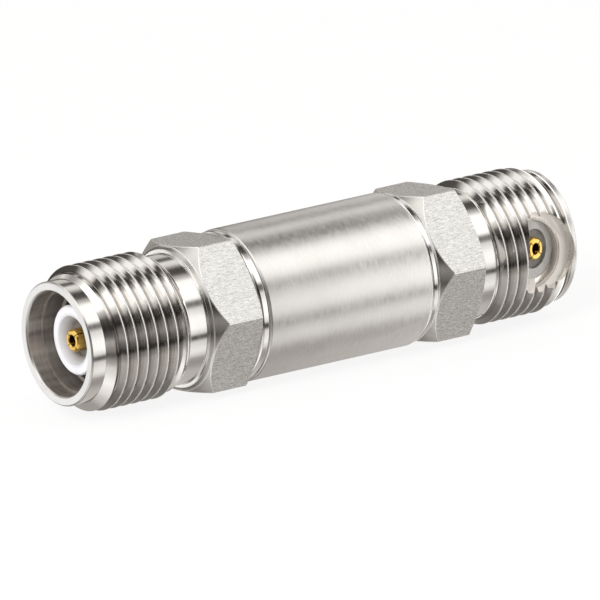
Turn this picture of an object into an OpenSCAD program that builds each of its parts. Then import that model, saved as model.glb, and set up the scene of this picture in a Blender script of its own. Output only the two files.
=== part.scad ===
// Coaxial adapter, female to female, with two threaded barrels, two wrench hexes
// and a side port in the right barrel. The axis lies along X and the origin is
// the middle of the adapter. It lies on its sleeve and one corner of each hex.

/* [Barrels] */
// Length over both ends
total_len = 43.8; // [43.4:0.1:44.6]
// Major radius of the coupling threads
thread_r = 5.556; // [5.5:0.002:5.6]
// Pitch of the coupling threads
thread_pitch = 0.907; // [0.88:0.001:0.92]
// Radius of the necks behind the threads
neck_r = 4.97; // [4.9:0.01:5.0]
// Radius of the plain nose on the left barrel
nose_r = 4.73; // [4.6:0.01:4.8]
// Radius of the lead in each socket mouth
mouth_r = 4.0; // [3.97:0.01:4.05]

/* [Hexes and sleeve] */
// Wrench size across the flats
hex_flats = 11.12; // [11:0.01:11.2]
// Roll of the hexes, which lets one corner touch the ground beside the sleeve
hex_roll = 24.3; // [22:0.1:26]
// Radius of the centre sleeve
sleeve_r = 5.85; // [5.8:0.01:5.9]
// Radius of the shim rings at the sleeve's ends
shim_r = 5.74; // [5.6:0.01:5.8]

/* [Insulators and contacts] */
// Radius of the front insulators
insulator_r = 2.66; // [2.5:0.01:2.7]
// Radius of the dished recess in an insulator's face
dish_r = 1.87; // [1.6:0.01:2]
// Radius of a socket contact
contact_r = 0.85; // [0.8:0.01:0.9]
// Radius of the hole in a socket contact
pin_hole_r = 0.42; // [0.38:0.01:0.45]
// Width of the slots that make a contact springy
slot_w = 0.15; // [0.1:0.01:0.16]
// Radius of the centre conductor
conductor_r = 0.65; // [0.6:0.01:0.7]

/* [Side port] */
// Turn of the port from the top towards the front
port_clock = 87.4; // [85:0.1:90]
// Tilt of the port's insulator towards the right end
port_tilt = 16.4; // [15.5:0.1:17.5]
// Radius of the port's liner pocket, a round cut off by its flat side
port_r = 2.74; // [2.7:0.01:2.78]
// Radius of the ledge round the liner
port_ledge_r = 3.1; // [3.05:0.01:3.15]
// Radius of the port's insulator
port_disc_r = 2.25; // [2.2:0.01:2.3]

/* [Hidden] */
$fn = 96;

// Colours
steel = [0.78, 0.77, 0.75];
shade_steel = [0.62, 0.59, 0.56];
white_plastic = [0.93, 0.93, 0.96];
gold = [0.85, 0.62, 0.18];
rubber = [0.12, 0.12, 0.12];

// Clearance, edge break, overlap of cutters, and a length past every surface
gap = 0.01;
edge = 0.12;
over = 0.5;
reach = 10;

// Places along the axis
left_end = -total_len / 2;
right_end = total_len / 2;
left_cone_x = -20.64;
left_thread_x = -20.22;
left_neck_x = -13.2;
left_hex_x = [-11.62, -7.22];
sleeve_x = [-6.55, 8.2];
right_hex_x = [8.76, 13.02];
right_thread_x = 15.1;
right_thread_crests = 7;
left_thread_crests = 8;
sleeve_mid = (sleeve_x[0] + sleeve_x[1]) / 2;

// Thread form: crest land, flank and root land of one turn
crest_land = thread_pitch / 8;
root_land = thread_pitch / 4;
thread_depth = 0.5;
root_r = thread_r - thread_depth;

// Rise of the cone that the left thread starts on, and fall of the one it ends on
lead_slope = 0.96;
runout_slope = 0.6;

// Hex corner radius, and how its corners are turned off in front and at the back
hex_corner_r = hex_flats / 2 / cos(30);
hex_face_r = 5.25;
hex_chamfer = 1.07;
hex_back_r = 5.5;
hex_back_chamfer = 0.4;

// Left socket
left_face_depth = 1.47;
left_face_x = left_end + left_face_depth;
left_lead_end_x = left_face_x - edge - gap;
bore_r = 3.82;
bore_step_x = -19;
inner_bore_r = 3.6;
left_floor_x = -17.2;

// Right socket, shallow because the side port lies behind it
right_socket_depth = 0.9;
right_floor_x = right_end - right_socket_depth;
right_face_x = right_floor_x;

// Stack inside the left half, mirrored about the sleeve's middle for the right
flange_r = 3;
flange_x = [-12, -11];
spigot_r = 4.7;
spigot_end = -2.6;
bead_x = [-2.6, -1.6];
bead_r = 3.6;
air_r = 1.5;
dielectric_r = 2.17;
shoulder_r = 1.15;
shoulder_x = [-11.8, -11.2];
stud_r = 0.35;
stud_x = [-10.6, -9.2];
seal_x = [-6, -5];
seal_groove_r = 4.12;

// Contacts
tip_proud = 0.1;
right_tip_proud = -0.05;
pin_hole_depth = 2.4;
slot_len = 1.8;
slot_turn = 45;
dish_depth = 0.9;
dish_floor_r = 1.3;

// Side port: flat side and its slant, centres of the pocket and of the ledge,
// height of the ledge, place of the tilted face, and the depths of its pieces
port_flat_x = 17.45;
port_flat_turn = -5;
port_x = 18;
port_ledge_x = 18.5;
port_ledge_h = 4.3;
port_face_x = 18.43;
port_face_h = 4.27;
port_face_y = 0.3;
port_disc_t = 0.55;
port_liner_t = 0.2;
port_dish_r = 1.5;
port_dish_depth = 0.25;
port_contact_len = 0.25;

// Turned solid about the X axis, from [radius, x] points
module turned(points) {
    rotate([0, 90, 0]) rotate_extrude() polygon(points);
}

// Straight round solid along X
module rod(r, x0, x1) {
    translate([x0, 0, 0]) rotate([0, 90, 0]) cylinder(r = r, h = x1 - x0);
}

// Tube along X
module tube(r_out, r_in, x0, x1) {
    difference() {
        rod(r_out, x0, x1);
        rod(r_in, x0 - over, x1 + over);
    }
}

// Moves a left-hand place or pair to its mirror place on the right
function mirrored(x) = 2 * sleeve_mid - x;
module right_half() {
    translate([2 * sleeve_mid, 0, 0]) mirror([1, 0, 0]) children();
}

// Outline of one thread's crests, from the first crest's middle
function crest_points(x, count) = [
    for (i = [0:count - 1])
        let (c = x + i * thread_pitch)
        for (p = [
            [root_r, c - (thread_pitch - root_land) / 2],
            [thread_r, c - crest_land / 2],
            [thread_r, c + crest_land / 2],
            [root_r, c + (thread_pitch - root_land) / 2]
        ]) p
];

// Dome that meets a hex's end face at one radius and cuts its corners to a depth
function dome_x(face_r, depth) =
    (pow(hex_corner_r, 2) - pow(face_r, 2) + pow(depth, 2)) / 2 / depth;
module dome(face_r, depth) {
    centre = dome_x(face_r, depth);
    translate([centre, 0, 0]) sphere(r = sqrt(pow(centre, 2) + pow(face_r, 2)));
}

// Wrench hex with the corners of both faces turned off, the left ones more
module wrench_hex(x) {
    intersection() {
        translate([x[0], 0, 0]) rotate([0, 90, 0]) rotate([0, 0, hex_roll])
            linear_extrude(height = x[1] - x[0]) circle(r = hex_corner_r, $fn = 6);
        translate([x[0], 0, 0]) dome(hex_face_r, hex_chamfer);
        translate([x[1], 0, 0]) mirror([1, 0, 0]) dome(hex_back_r, hex_back_chamfer);
    }
}

// Spigot that goes into the sleeve, with the groove of its seal ring
module spigot(hex_back) {
    turned([
        [0, hex_back - edge],
        [spigot_r - gap, hex_back - edge],
        [spigot_r - gap, seal_x[0]],
        [seal_groove_r, seal_x[0]],
        [seal_groove_r, seal_x[1]],
        [spigot_r - gap, seal_x[1]],
        [spigot_r - gap, spigot_end - edge],
        [spigot_r - edge, spigot_end],
        [0, spigot_end]
    ]);
}

// Hole through a half for its flange and its air line bush
module flange_hole() {
    rod(flange_r, flange_x[0], spigot_end + over);
}

// Cones that the left thread rises from and runs out on, as one turned outline
module left_thread_limit() {
    top_r = thread_r + over;
    turned([
        [0, left_end - over],
        [nose_r, left_end - over],
        [nose_r, left_cone_x],
        [top_r, left_cone_x + (top_r - nose_r) / lead_slope],
        [top_r, left_neck_x - (top_r - neck_r) / runout_slope],
        [neck_r, left_neck_x],
        [neck_r, left_hex_x[0] + 2 * over],
        [0, left_hex_x[0] + 2 * over]
    ]);
}

module left_barrel() {
    intersection() {
        turned(concat(
            [
                [0, left_end],
                [nose_r - edge, left_end],
                [nose_r, left_end + edge],
                [nose_r, left_cone_x]
            ],
            crest_points(left_thread_x, left_thread_crests),
            [
                [root_r, left_hex_x[0] + over],
                [0, left_hex_x[0] + over]
            ]
        ));
        left_thread_limit();
    }
}

module left_connector_body() color(steel) {
    difference() {
        union() {
            left_barrel();
            wrench_hex(left_hex_x);
            spigot(left_hex_x[1]);
        }
        turned([
            [0, left_end - over],
            [mouth_r + edge + over, left_end - over],
            [mouth_r, left_end + edge],
            [mouth_r, left_lead_end_x],
            [bore_r, left_lead_end_x],
            [bore_r, bore_step_x],
            [inner_bore_r, bore_step_x + edge],
            [inner_bore_r, left_floor_x],
            [insulator_r + gap, left_floor_x],
            [insulator_r + gap, flange_x[0] + over],
            [0, flange_x[0] + over]
        ]);
        flange_hole();
    }
}

// Sets children with Z out of the side port and X along the adapter
module port_frame() {
    rotate([port_clock, 0, 0]) children();
}

// Sets children with Z out of the tilted face of the port's insulator
module port_face_frame() {
    port_frame() translate([port_face_x, port_face_y, port_face_h])
        rotate([0, port_tilt, 0]) children();
}

// Round of a radius about a place, cut off by the port's flat side to its left
module half_round(x, r, h0, h1) {
    intersection() {
        translate([x, 0, h0]) cylinder(r = r, h = h1 - h0);
        translate([port_flat_x, 0, h0 - over]) rotate([0, 0, port_flat_turn])
            translate([0, -reach, 0]) cube([reach, 2 * reach, h1 - h0 + 2 * over]);
    }
}

// Space in front of the tilted face
module above_face() {
    port_face_frame() translate([-reach, -reach, 0]) cube([2 * reach, 2 * reach, reach]);
}

// Round seat sunk from the tilted face to the back of the port's insulator
module port_seat(r) {
    port_face_frame() translate([0, 0, -port_disc_t])
        cylinder(r = r, h = port_disc_t + port_contact_len + edge);
}

// Pocket that the side port is let into: a ledge, a liner pocket and a tilted seat
module side_port_pocket() {
    port_frame() half_round(port_ledge_x, port_ledge_r, port_ledge_h, thread_r + over);
    intersection() {
        port_frame() half_round(port_x, port_r, 0, thread_r + over);
        above_face();
    }
    intersection() {
        port_frame() half_round(port_x, port_r, 0, thread_r + over);
        port_seat(port_disc_r + gap);
    }
    port_seat(contact_r + gap);
}

module right_connector_body() color(steel) {
    difference() {
        union() {
            turned(concat(
                [
                    [0, right_hex_x[1] - over],
                    [neck_r, right_hex_x[1] - over],
                    [neck_r, right_thread_x - thread_pitch / 2 - edge],
                    [root_r, right_thread_x - thread_pitch / 2]
                ],
                crest_points(right_thread_x, right_thread_crests),
                [
                    [root_r, right_end - edge],
                    [root_r - edge, right_end],
                    [0, right_end]
                ]
            ));
            wrench_hex(right_hex_x);
            right_half() spigot(mirrored(right_hex_x[0]));
        }
        turned([
            [0, right_end + over],
            [mouth_r + edge + over, right_end + over],
            [mouth_r, right_end - edge],
            [mouth_r, right_floor_x],
            [insulator_r + gap, right_floor_x],
            [insulator_r + gap, mirrored(flange_x[0]) - over],
            [0, mirrored(flange_x[0]) - over]
        ]);
        right_half() flange_hole();
        side_port_pocket();
    }
}

module centre_sleeve() color(steel) {
    turned([
        [spigot_r, sleeve_x[0]],
        [sleeve_r - edge, sleeve_x[0]],
        [sleeve_r, sleeve_x[0] + edge],
        [sleeve_r, sleeve_x[1] - edge],
        [sleeve_r - edge, sleeve_x[1]],
        [spigot_r, sleeve_x[1]],
        [spigot_r, mirrored(spigot_end)],
        [bead_r + gap, mirrored(bead_x[0])],
        [bead_r + gap, mirrored(bead_x[1])],
        [dielectric_r + gap, mirrored(bead_x[1])],
        [dielectric_r + gap, bead_x[1]],
        [bead_r + gap, bead_x[1]],
        [bead_r + gap, bead_x[0]],
        [spigot_r, spigot_end]
    ]);
}

// Thin turned ring clamped between a hex and the sleeve
module shim_ring(x0, x1) {
    turned([
        [spigot_r + gap, x0],
        [shim_r - edge, x0],
        [shim_r, x0 + edge],
        [shim_r, x1 - edge],
        [shim_r - edge, x1],
        [spigot_r + gap, x1]
    ]);
}

module left_shim_ring() color(steel) shim_ring(left_hex_x[1], sleeve_x[0]);
module right_shim_ring() color(steel) shim_ring(sleeve_x[1], right_hex_x[0]);

// Rubber ring squeezed between the groove and the sleeve
module seal_ring() {
    seal_r = (spigot_r - seal_groove_r) / 2;
    rotate([0, 90, 0]) translate([0, 0, (seal_x[0] + seal_x[1]) / 2])
        rotate_extrude() translate([seal_groove_r + seal_r, 0]) circle(r = seal_r, $fn = 32);
}

module left_seal_ring() color(rubber) seal_ring();
module right_seal_ring() color(rubber) right_half() seal_ring();

// Front insulator: dished face, flanged back and the seat of the contact's shoulder
module front_insulator(face) {
    turned([
        [contact_r + gap, face + dish_depth],
        [dish_floor_r, face + dish_depth],
        [dish_r, face],
        [insulator_r - edge, face],
        [insulator_r, face + edge],
        [insulator_r, flange_x[0]],
        [flange_r - gap, flange_x[0]],
        [flange_r - gap, flange_x[1]],
        [shoulder_r + gap, flange_x[1]],
        [shoulder_r + gap, shoulder_x[0]],
        [contact_r + gap, shoulder_x[0]]
    ]);
}

module left_front_insulator() color(white_plastic) front_insulator(left_face_x);
module right_front_insulator() color(white_plastic)
    right_half() front_insulator(mirrored(right_face_x));

// Crossed slots of the given length in the end of a contact at the origin, along +X
module cross_slots(length) {
    for (turn = [0, 90])
        rotate([turn, 0, 0]) translate([-over, -slot_w / 2, -contact_r - over])
            cube([length + over, slot_w, 2 * contact_r + 2 * over]);
}

// Socket contact: slotted tip, shoulder and the stud that joins it to the conductor
module socket_contact(tip) {
    difference() {
        turned([
            [0, tip + pin_hole_depth],
            [pin_hole_r, tip + pin_hole_depth],
            [pin_hole_r, tip + edge / 2],
            [pin_hole_r + edge / 2, tip],
            [contact_r - edge, tip],
            [contact_r, tip + edge],
            [contact_r, shoulder_x[0]],
            [shoulder_r, shoulder_x[0]],
            [shoulder_r, shoulder_x[1]],
            [conductor_r, shoulder_x[1]],
            [conductor_r, stud_x[0]],
            [stud_r, stud_x[0]],
            [stud_r, stud_x[1]],
            [0, stud_x[1]]
        ]);
        translate([tip, 0, 0]) rotate([slot_turn, 0, 0]) cross_slots(slot_len);
    }
}

module left_contact() color(gold) socket_contact(left_face_x - tip_proud);
module right_contact() color(gold)
    right_half() socket_contact(mirrored(right_face_x + right_tip_proud));

// Conductor with a blind hole in each end for the contacts' studs
module centre_conductor() color(gold) {
    difference() {
        rod(conductor_r, stud_x[0], mirrored(stud_x[0]));
        rod(stud_r + gap, stud_x[0] - over, stud_x[1] + edge);
        rod(stud_r + gap, mirrored(stud_x[1]) - edge, mirrored(stud_x[0]) + over);
    }
}

// Bead with a turned relief in both faces, as such beads have
module support_bead() {
    relief = 0.25;
    turned([
        [conductor_r + gap, bead_x[0] + relief],
        [air_r, bead_x[0] + relief],
        [dielectric_r, bead_x[0]],
        [bead_r, bead_x[0]],
        [bead_r, bead_x[1]],
        [dielectric_r, bead_x[1]],
        [conductor_r + gap, bead_x[1]]
    ]);
}

module left_support_bead() color(white_plastic) support_bead();
module right_support_bead() color(white_plastic) right_half() support_bead();

module air_line_bush() {
    tube(flange_r - gap, air_r, flange_x[1], spigot_end);
}

module left_air_line_bush() color(steel) air_line_bush();
module right_air_line_bush() color(steel) right_half() air_line_bush();

module centre_dielectric() color(white_plastic) {
    tube(dielectric_r, conductor_r + gap, bead_x[1], mirrored(bead_x[1]));
}

// Half round liner that stands on the tilted seat and ends level with the ledge
module side_port_liner() color(shade_steel) {
    intersection() {
        port_frame() difference() {
            half_round(port_x, port_r - gap, 0, port_ledge_h);
            half_round(port_x, port_r - port_liner_t, -over, port_ledge_h + over);
        }
        above_face();
        rod(root_r, port_flat_x - over, right_end);
    }
}

module side_port_insulator() color(white_plastic) {
    intersection() {
        port_face_frame() difference() {
            translate([0, 0, -port_disc_t]) cylinder(r = port_disc_r, h = port_disc_t);
            translate([0, 0, -port_dish_depth]) cylinder(r = port_dish_r, h = over);
            translate([0, 0, -port_disc_t - over])
                cylinder(r = contact_r + gap, h = port_disc_t + 2 * over);
        }
        port_frame() half_round(port_x, port_r - gap, 0, thread_r);
    }
}

module side_port_contact() color(gold) {
    port_face_frame() difference() {
        translate([0, 0, -port_disc_t]) cylinder(r = contact_r, h = port_contact_len + port_disc_t);
        translate([0, 0, -port_disc_t + edge])
            cylinder(r = pin_hole_r, h = port_disc_t + port_contact_len);
        rotate([0, -90, 0]) rotate([slot_turn, 0, 0]) mirror([1, 0, 0])
            translate([-port_contact_len, 0, 0]) cross_slots(port_contact_len + edge);
    }
}

left_connector_body();
right_connector_body();
centre_sleeve();
left_shim_ring();
right_shim_ring();
left_seal_ring();
right_seal_ring();
left_front_insulator();
right_front_insulator();
left_contact();
right_contact();
centre_conductor();
left_support_bead();
right_support_bead();
left_air_line_bush();
right_air_line_bush();
centre_dielectric();
side_port_liner();
side_port_insulator();
side_port_contact();
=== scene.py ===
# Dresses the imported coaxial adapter: turned bodies with helical threads, bevelled
# edges, procedural finishes, studio light and the camera at the photograph's angle.
import bisect
import math

import bmesh
import bpy
from mathutils import Matrix, Vector


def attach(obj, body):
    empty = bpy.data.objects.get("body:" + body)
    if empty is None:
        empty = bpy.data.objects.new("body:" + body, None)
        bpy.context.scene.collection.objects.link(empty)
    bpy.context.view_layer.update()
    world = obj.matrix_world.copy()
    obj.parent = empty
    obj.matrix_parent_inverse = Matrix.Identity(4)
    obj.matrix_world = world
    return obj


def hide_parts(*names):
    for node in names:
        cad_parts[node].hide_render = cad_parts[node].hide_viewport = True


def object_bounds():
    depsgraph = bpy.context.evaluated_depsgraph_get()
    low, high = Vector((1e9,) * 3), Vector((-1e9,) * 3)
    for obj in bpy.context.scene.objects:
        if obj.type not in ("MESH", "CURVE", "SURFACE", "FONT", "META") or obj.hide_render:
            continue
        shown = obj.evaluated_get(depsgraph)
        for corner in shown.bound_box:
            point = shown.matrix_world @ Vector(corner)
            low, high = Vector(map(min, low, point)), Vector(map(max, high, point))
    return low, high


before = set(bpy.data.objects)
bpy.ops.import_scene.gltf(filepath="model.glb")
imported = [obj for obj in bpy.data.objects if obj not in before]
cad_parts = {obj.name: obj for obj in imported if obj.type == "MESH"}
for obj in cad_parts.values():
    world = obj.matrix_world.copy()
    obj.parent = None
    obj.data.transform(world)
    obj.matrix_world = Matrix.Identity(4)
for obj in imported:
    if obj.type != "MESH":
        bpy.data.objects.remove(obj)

cad_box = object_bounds()
MM = 0.001

# Sizes in millimetres, as the adapter's source has them
LEFT_END, RIGHT_END = -21.9, 21.9
THREAD_R, PITCH = 5.556, 0.907
# The source's rings have a flat root, and the helix a deeper and narrower one
THREAD_DEPTH, GROOVE_DEPTH = 0.5, 0.52
NECK_R, NOSE_R = 4.97, 4.73
MOUTH_R, BORE_R, INNER_BORE_R = 4.0, 3.82, 3.6
HEX_FLATS, HEX_ROLL = 11.12, 24.3
HEX_FACE_R, HEX_CHAMFER = 5.25, 1.07
HEX_BACK_R, HEX_BACK_CHAMFER = 5.5, 0.4
LEFT_HEX, RIGHT_HEX = (-11.62, -7.22), (8.76, 13.02)
LEFT_CONE, LEFT_THREAD, LEFT_NECK = -20.64, -20.22, -13.2
LEAD_SLOPE, RUNOUT_SLOPE = 0.96, 0.6
RIGHT_THREAD, RIGHT_NOSE = 15.1, 21.4
# The right thread starts this far ahead of its first root, and the envelopes of its first
# and last crests have these slopes
RIGHT_LEAD, RIGHT_LEAD_SLOPE, RIGHT_NOSE_SLOPE = 0.12, 2.2, 0.35
# Rows on the right neck and in the right recess that keep their shading flat
RIGHT_NECK_ROW, RECESS_ROWS = 14.0, (21.3, 21.2)
ROOT_R = THREAD_R - THREAD_DEPTH
SLEEVE, SLEEVE_R, SHIM_R = (-6.55, 8.2), 5.85, 5.74
INSULATOR_R, DISH_R, DISH_FLOOR_R, DISH_DEPTH = 2.66, 1.87, 1.3, 0.9
LEFT_FACE, LEFT_LEAD_END, LEFT_STEP, LEFT_FLOOR = -20.43, -20.56, -19.0, -17.2
RIGHT_FLOOR = 21.0
FLANGE_R, FLANGE_X, FLANGE_END = 3.0, -12.0, -11.0
SPIGOT_R, SPIGOT_END = 4.69, -2.6
BEAD_R, BEAD_END, DIELECTRIC_R = 3.6, -1.6, 2.17
SEAL_X, SEAL_R = (-6.0, -5.0), 4.12
SLEEVE_MID = (SLEEVE[0] + SLEEVE[1]) / 2
CHAMFER, RIM_CHAMFER, GAP = 0.12, 0.1, 0.01
# How far the left face's finish reaches back on the nose and into the mouth, and how
# far the plain parts keep from the threads
NOSE_FACE, MOUTH_FACE, STEP = 0.3, 0.18, 0.02
# The helix starts this far back, so that its crests meet the source's rings at the front
CREST_SHIFT = PITCH * 0.2

# Contacts, whose tips stand a little before or behind the insulators' faces
CONTACT_R, PIN_HOLE_R, PIN_HOLE_DEPTH = 0.85, 0.42, 2.4
SHOULDER_R, SHOULDER_X = 1.15, (-11.8, -11.2)
STUD_R, STUD_X, CONDUCTOR_R = 0.35, (-10.6, -9.2), 0.65
SLOT_WIDTH, SLOT_LEN, SLOT_TURN = 0.08, 1.8, 45
# How far the cutters of the slots and of the side port reach past what they cut
SLOT_REACH, PORT_REACH = 2, 0.5
LEFT_TIP, RIGHT_TIP = -20.53, 20.95

# Side port
PORT_CLOCK, PORT_TILT = 87.4, 16.4
PORT_X, PORT_R = 18.0, 2.74
LEDGE_X, LEDGE_R, LEDGE_H = 18.5, 3.1, 4.3
FLAT_X, FLAT_TURN = 17.45, -5
PORT_FACE = (18.43, 0.3, 4.27)
PORT_DISC_R, PORT_DISC_T = 2.25, 0.55
PORT_DISH_R, PORT_DISH_DEPTH = 1.5, 0.25
PORT_CONTACT_LEN, LINER_T = 0.25, 0.2

# Columns of the turned meshes, and how close two of a body's may stand in degrees
COLUMNS, RING_COLUMNS, INSULATOR_COLUMNS, PORT_COLUMNS, CONTACT_COLUMNS = 240, 256, 192, 128, 96
CLOSEST_COLUMNS = 0.35
ARC_STEPS = 3
# Edges sharper than this, in degrees, stay sharp in the shading
SMOOTH_ANGLE = 32
# Points closer than this are merged, and edges shorter than this dropped, in metres
MERGE_DISTANCE, EMPTY_EDGE = 2e-7, 1e-7

# How far edges are broken, and how far the necks' corners are filled
FINE_EDGE, SOFT_EDGE, EDGE, NECK_FILLET = 0.03, 0.04, 0.05, 0.08
HEX_EDGE = 0.065
# How far the hex's corners are cut back, and how much less with each degree from them
CORNER_CUT, CORNER_CURVE = 0.045, 0.02
# Degrees from a corner where the hex has a column, and between which its edge has a painted highlight
CORNER_OFFSETS = (-0.85, -0.53, 0.0, 0.53, 0.85)
CORNER_LINE = (-0.6, 0.45)
# Radius of the fine turned line on the front of each hex
TURNED_LINE_R, TURNED_LINE_WIDTH = 5.46, 0.09

# Painted shade: the grooves are darker up to this height over their roots, and the insulators up to
# this far past their dishes
GROOVE_SHADE, DISH_SHADE = 0.16, 0.3

# The view's azimuth and elevation, and the turn of the camera and the studio about the
# adapter's axis, in degrees
VIEW_AZIMUTH, VIEW_ELEVATION = -34.6, 19.1
VIEW_TURN = 4.4


def view_direction():
    """Direction in which the camera looks, before the turn about the adapter's axis."""
    azimuth, elevation = math.radians(VIEW_AZIMUTH), math.radians(VIEW_ELEVATION)
    return Vector((-math.sin(azimuth) * math.cos(elevation), math.cos(azimuth) * math.cos(elevation),
                   -math.sin(elevation)))


def mirrored(x):
    """The place on the right that mirrors a place on the left."""
    return 2 * SLEEVE_MID - x


# Outlines


def fillet(points, size=EDGE, steps=ARC_STEPS):
    """Rounds the inner corners of an open outline of (x, r) points, except straight ones."""
    most, straight, least = 0.45, math.radians(177), 1e-5
    out = [points[0]]
    for a, b, c in zip(points, points[1:], points[2:]):
        u = Vector((a[0] - b[0], a[1] - b[1]))
        v = Vector((c[0] - b[0], c[1] - b[1]))
        trim = min(size, u.length * most, v.length * most)
        if trim < least or u.angle(v, math.pi) > straight:
            out.append(b)
            continue
        start = Vector(b) + u.normalized() * trim
        end = Vector(b) + v.normalized() * trim
        for i in range(steps + 1):
            t = i / steps
            p = start * (1 - t) ** 2 + Vector(b) * 2 * t * (1 - t) + end * t * t
            out.append((p.x, p.y))
    out.append(points[-1])
    return out


def thread_outline():
    """One turn of the thread, as (distance along the pitch, depth below the crest).

    Each flank has a row near both of its ends, which keep its shading flat."""
    flank_rows = (0.1, 0.9)
    half_crest = PITCH / 18
    half_root = PITCH / 20
    corners = [
        (0.0, 0.0),
        (half_crest, 0.0),
        (PITCH / 2 - half_root, GROOVE_DEPTH),
        (PITCH / 2 + half_root, GROOVE_DEPTH),
        (PITCH - half_crest, 0.0),
        (PITCH, 0.0),
    ]
    rounded = [corners[0]]
    crest, root = (FINE_EDGE, ARC_STEPS), (SOFT_EDGE, 2)
    for i, (size, steps) in ((1, crest), (2, root), (3, root), (4, crest)):
        rounded += fillet(corners[i - 1:i + 2], size, steps)[1:-1]
        if i in (1, 3):
            rounded += [between(corners[i], corners[i + 1], share) for share in flank_rows]
    return rounded


def between(a, b, share):
    """The point at a share of the way from one point to another."""
    return tuple(p + (q - p) * share for p, q in zip(a, b))


# Meshes


def make_object(name, verts, faces, mats, slots):
    """A mesh object from millimetre points, with faces assigned to material slots."""
    mesh = bpy.data.meshes.new(name)
    mesh.from_pydata([(x * MM, y * MM, z * MM) for x, y, z in verts], [], faces)
    for material in slots:
        mesh.materials.append(material)
    mesh.polygons.foreach_set("material_index", mats)
    obj = bpy.data.objects.new(name, mesh)
    bpy.context.scene.collection.objects.link(obj)
    clean(obj)
    return obj


def clean(obj):
    """Merges doubled points, drops empty faces, turns normals out and marks sharp edges."""
    bm = bmesh.new()
    bm.from_mesh(obj.data)
    bmesh.ops.remove_doubles(bm, verts=bm.verts, dist=MERGE_DISTANCE)
    bmesh.ops.dissolve_degenerate(bm, dist=EMPTY_EDGE, edges=bm.edges)
    bmesh.ops.recalc_face_normals(bm, faces=bm.faces)
    limit = math.radians(SMOOTH_ANGLE)
    for e in bm.edges:
        e.smooth = len(e.link_faces) == 2 and e.calc_face_angle(0) < limit
    for f in bm.faces:
        f.smooth = True
    bm.to_mesh(obj.data)
    bm.free()


def ring_angles(count):
    """Even column angles round the axis, in degrees."""
    return [i * 360 / count for i in range(count)]


def hex_corner_angles():
    """Clock angles of the hexes' corners."""
    return [(HEX_ROLL + 60 * i) % 360 for i in range(6)]


def body_angles():
    """Column angles of a body: even ones, and closer ones at the hex's corners."""
    extra = [corner + offset for corner in hex_corner_angles() for offset in CORNER_OFFSETS]

    def clear(angle):
        return all(abs((angle - e + 180) % 360 - 180) > CLOSEST_COLUMNS for e in extra)

    return sorted([a for a in ring_angles(COLUMNS) if clear(a)] + [e % 360 for e in extra])


def at(angle, x, r):
    """Point at a clock angle in degrees, from the top towards the front."""
    t = math.radians(angle)
    return (x, -r * math.sin(t), r * math.cos(t))


class Section:
    """A run of rows of a turned mesh: points(angle) gives its (x, r) pairs.

    strip(row, angle) may give another material for the strip after a row, or None."""

    def __init__(self, points, mat, turn_rows=0, strip=None):
        self.points = points
        self.mat = mat
        self.turn_rows = turn_rows
        self.strip = strip or (lambda row, angle: None)

    def mat_at(self, row, angle):
        other = self.strip(row, angle)
        return self.mat if other is None else other


def plain(points, mat):
    """A section that is the same all the way round."""
    return Section(lambda angle: points, mat)


def turned(name, sections, columns, slots):
    """A closed solid turned about X. A section with turn_rows climbs that many rows a turn."""
    first = [s.points(0.0) for s in sections]
    counts = [len(p) for p in first]
    starts = [sum(counts[:i]) for i in range(len(counts))]
    rows = sum(counts)
    verts = []
    for angle in columns:
        for s in sections:
            verts += [at(angle, x, r) for x, r in s.points(angle)]
    owner = [bisect.bisect_right(starts, m) - 1 for m in range(rows)]

    def over_seam(m):
        """The row that a row meets past the last column, further on in a helix."""
        s = owner[m]
        last = starts[s] + counts[s] - 1
        return min(m + sections[s].turn_rows, last)

    faces, mats = [], []
    for j in range(len(columns)):
        here, there = j * rows, (j + 1) % len(columns) * rows
        seam = j + 1 == len(columns)
        for m in range(rows):
            n = (m + 1) % rows
            m2, n2 = (over_seam(m), over_seam(n)) if seam else (m, n)
            faces.append((here + m, here + n, there + n2, there + m2))
            own = owner[n]
            within = owner[m] == own
            mats.append(sections[own].mat_at(m - starts[own], columns[j]) if within else sections[own].mat)
    return make_object(name, verts, faces, mats, slots)


def thread_section(x0, x1, crest_x, envelope):
    """Helical thread between two planes. envelope(x) is the largest radius at x."""
    outline = thread_outline()
    per_turn = len(outline)
    first = math.floor((x0 - crest_x) / PITCH) - 2
    last = math.ceil((x1 - crest_x) / PITCH) + 1
    rows = [(crest_x + k * PITCH + d, depth) for k in range(first, last + 1) for d, depth in outline]

    def points(angle):
        climb = PITCH * angle / 360
        out = []
        for x, depth in rows:
            x += climb
            inside = min(max(x, x0), x1)
            out.append((inside, min(THREAD_R - depth, envelope(x)) if x == inside else envelope(inside)))
        return out

    def strip(row, angle):
        x, depth = rows[row]
        x = min(max(x + PITCH * angle / 360, x0), x1)
        if THREAD_R - depth > envelope(x):
            return T_NECK
        place = row % per_turn
        # Crest rows take the painted highlight of the edge slot
        return T_EDGE_HIGHLIGHT if place <= ARC_STEPS or place >= per_turn - ARC_STEPS - 1 else None

    return Section(points, T_THREAD, per_turn, strip)


def off_corner(angle):
    """Degrees from the hex's nearest corner."""
    return (angle - HEX_ROLL + 30) % 60 - 30


def hex_radius(angle):
    """Distance to the hex's side at an angle, with its corners slightly rounded."""
    off = off_corner(angle)
    flat = HEX_FLATS / 2 / math.cos(math.radians(30 - abs(off)))
    corner = HEX_FLATS / 2 / math.cos(math.radians(30))
    return min(flat, corner - CORNER_CUT + CORNER_CURVE * abs(off))


def dome(face_r, depth):
    """How far in a dome that meets the face at face_r has come at a radius, as a function."""
    corner = HEX_FLATS / 2 / math.cos(math.radians(30))
    centre = (corner ** 2 - face_r ** 2 + depth ** 2) / 2 / depth
    radius = math.hypot(centre, face_r)
    return lambda r: centre - math.sqrt(radius ** 2 - r ** 2)


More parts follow.
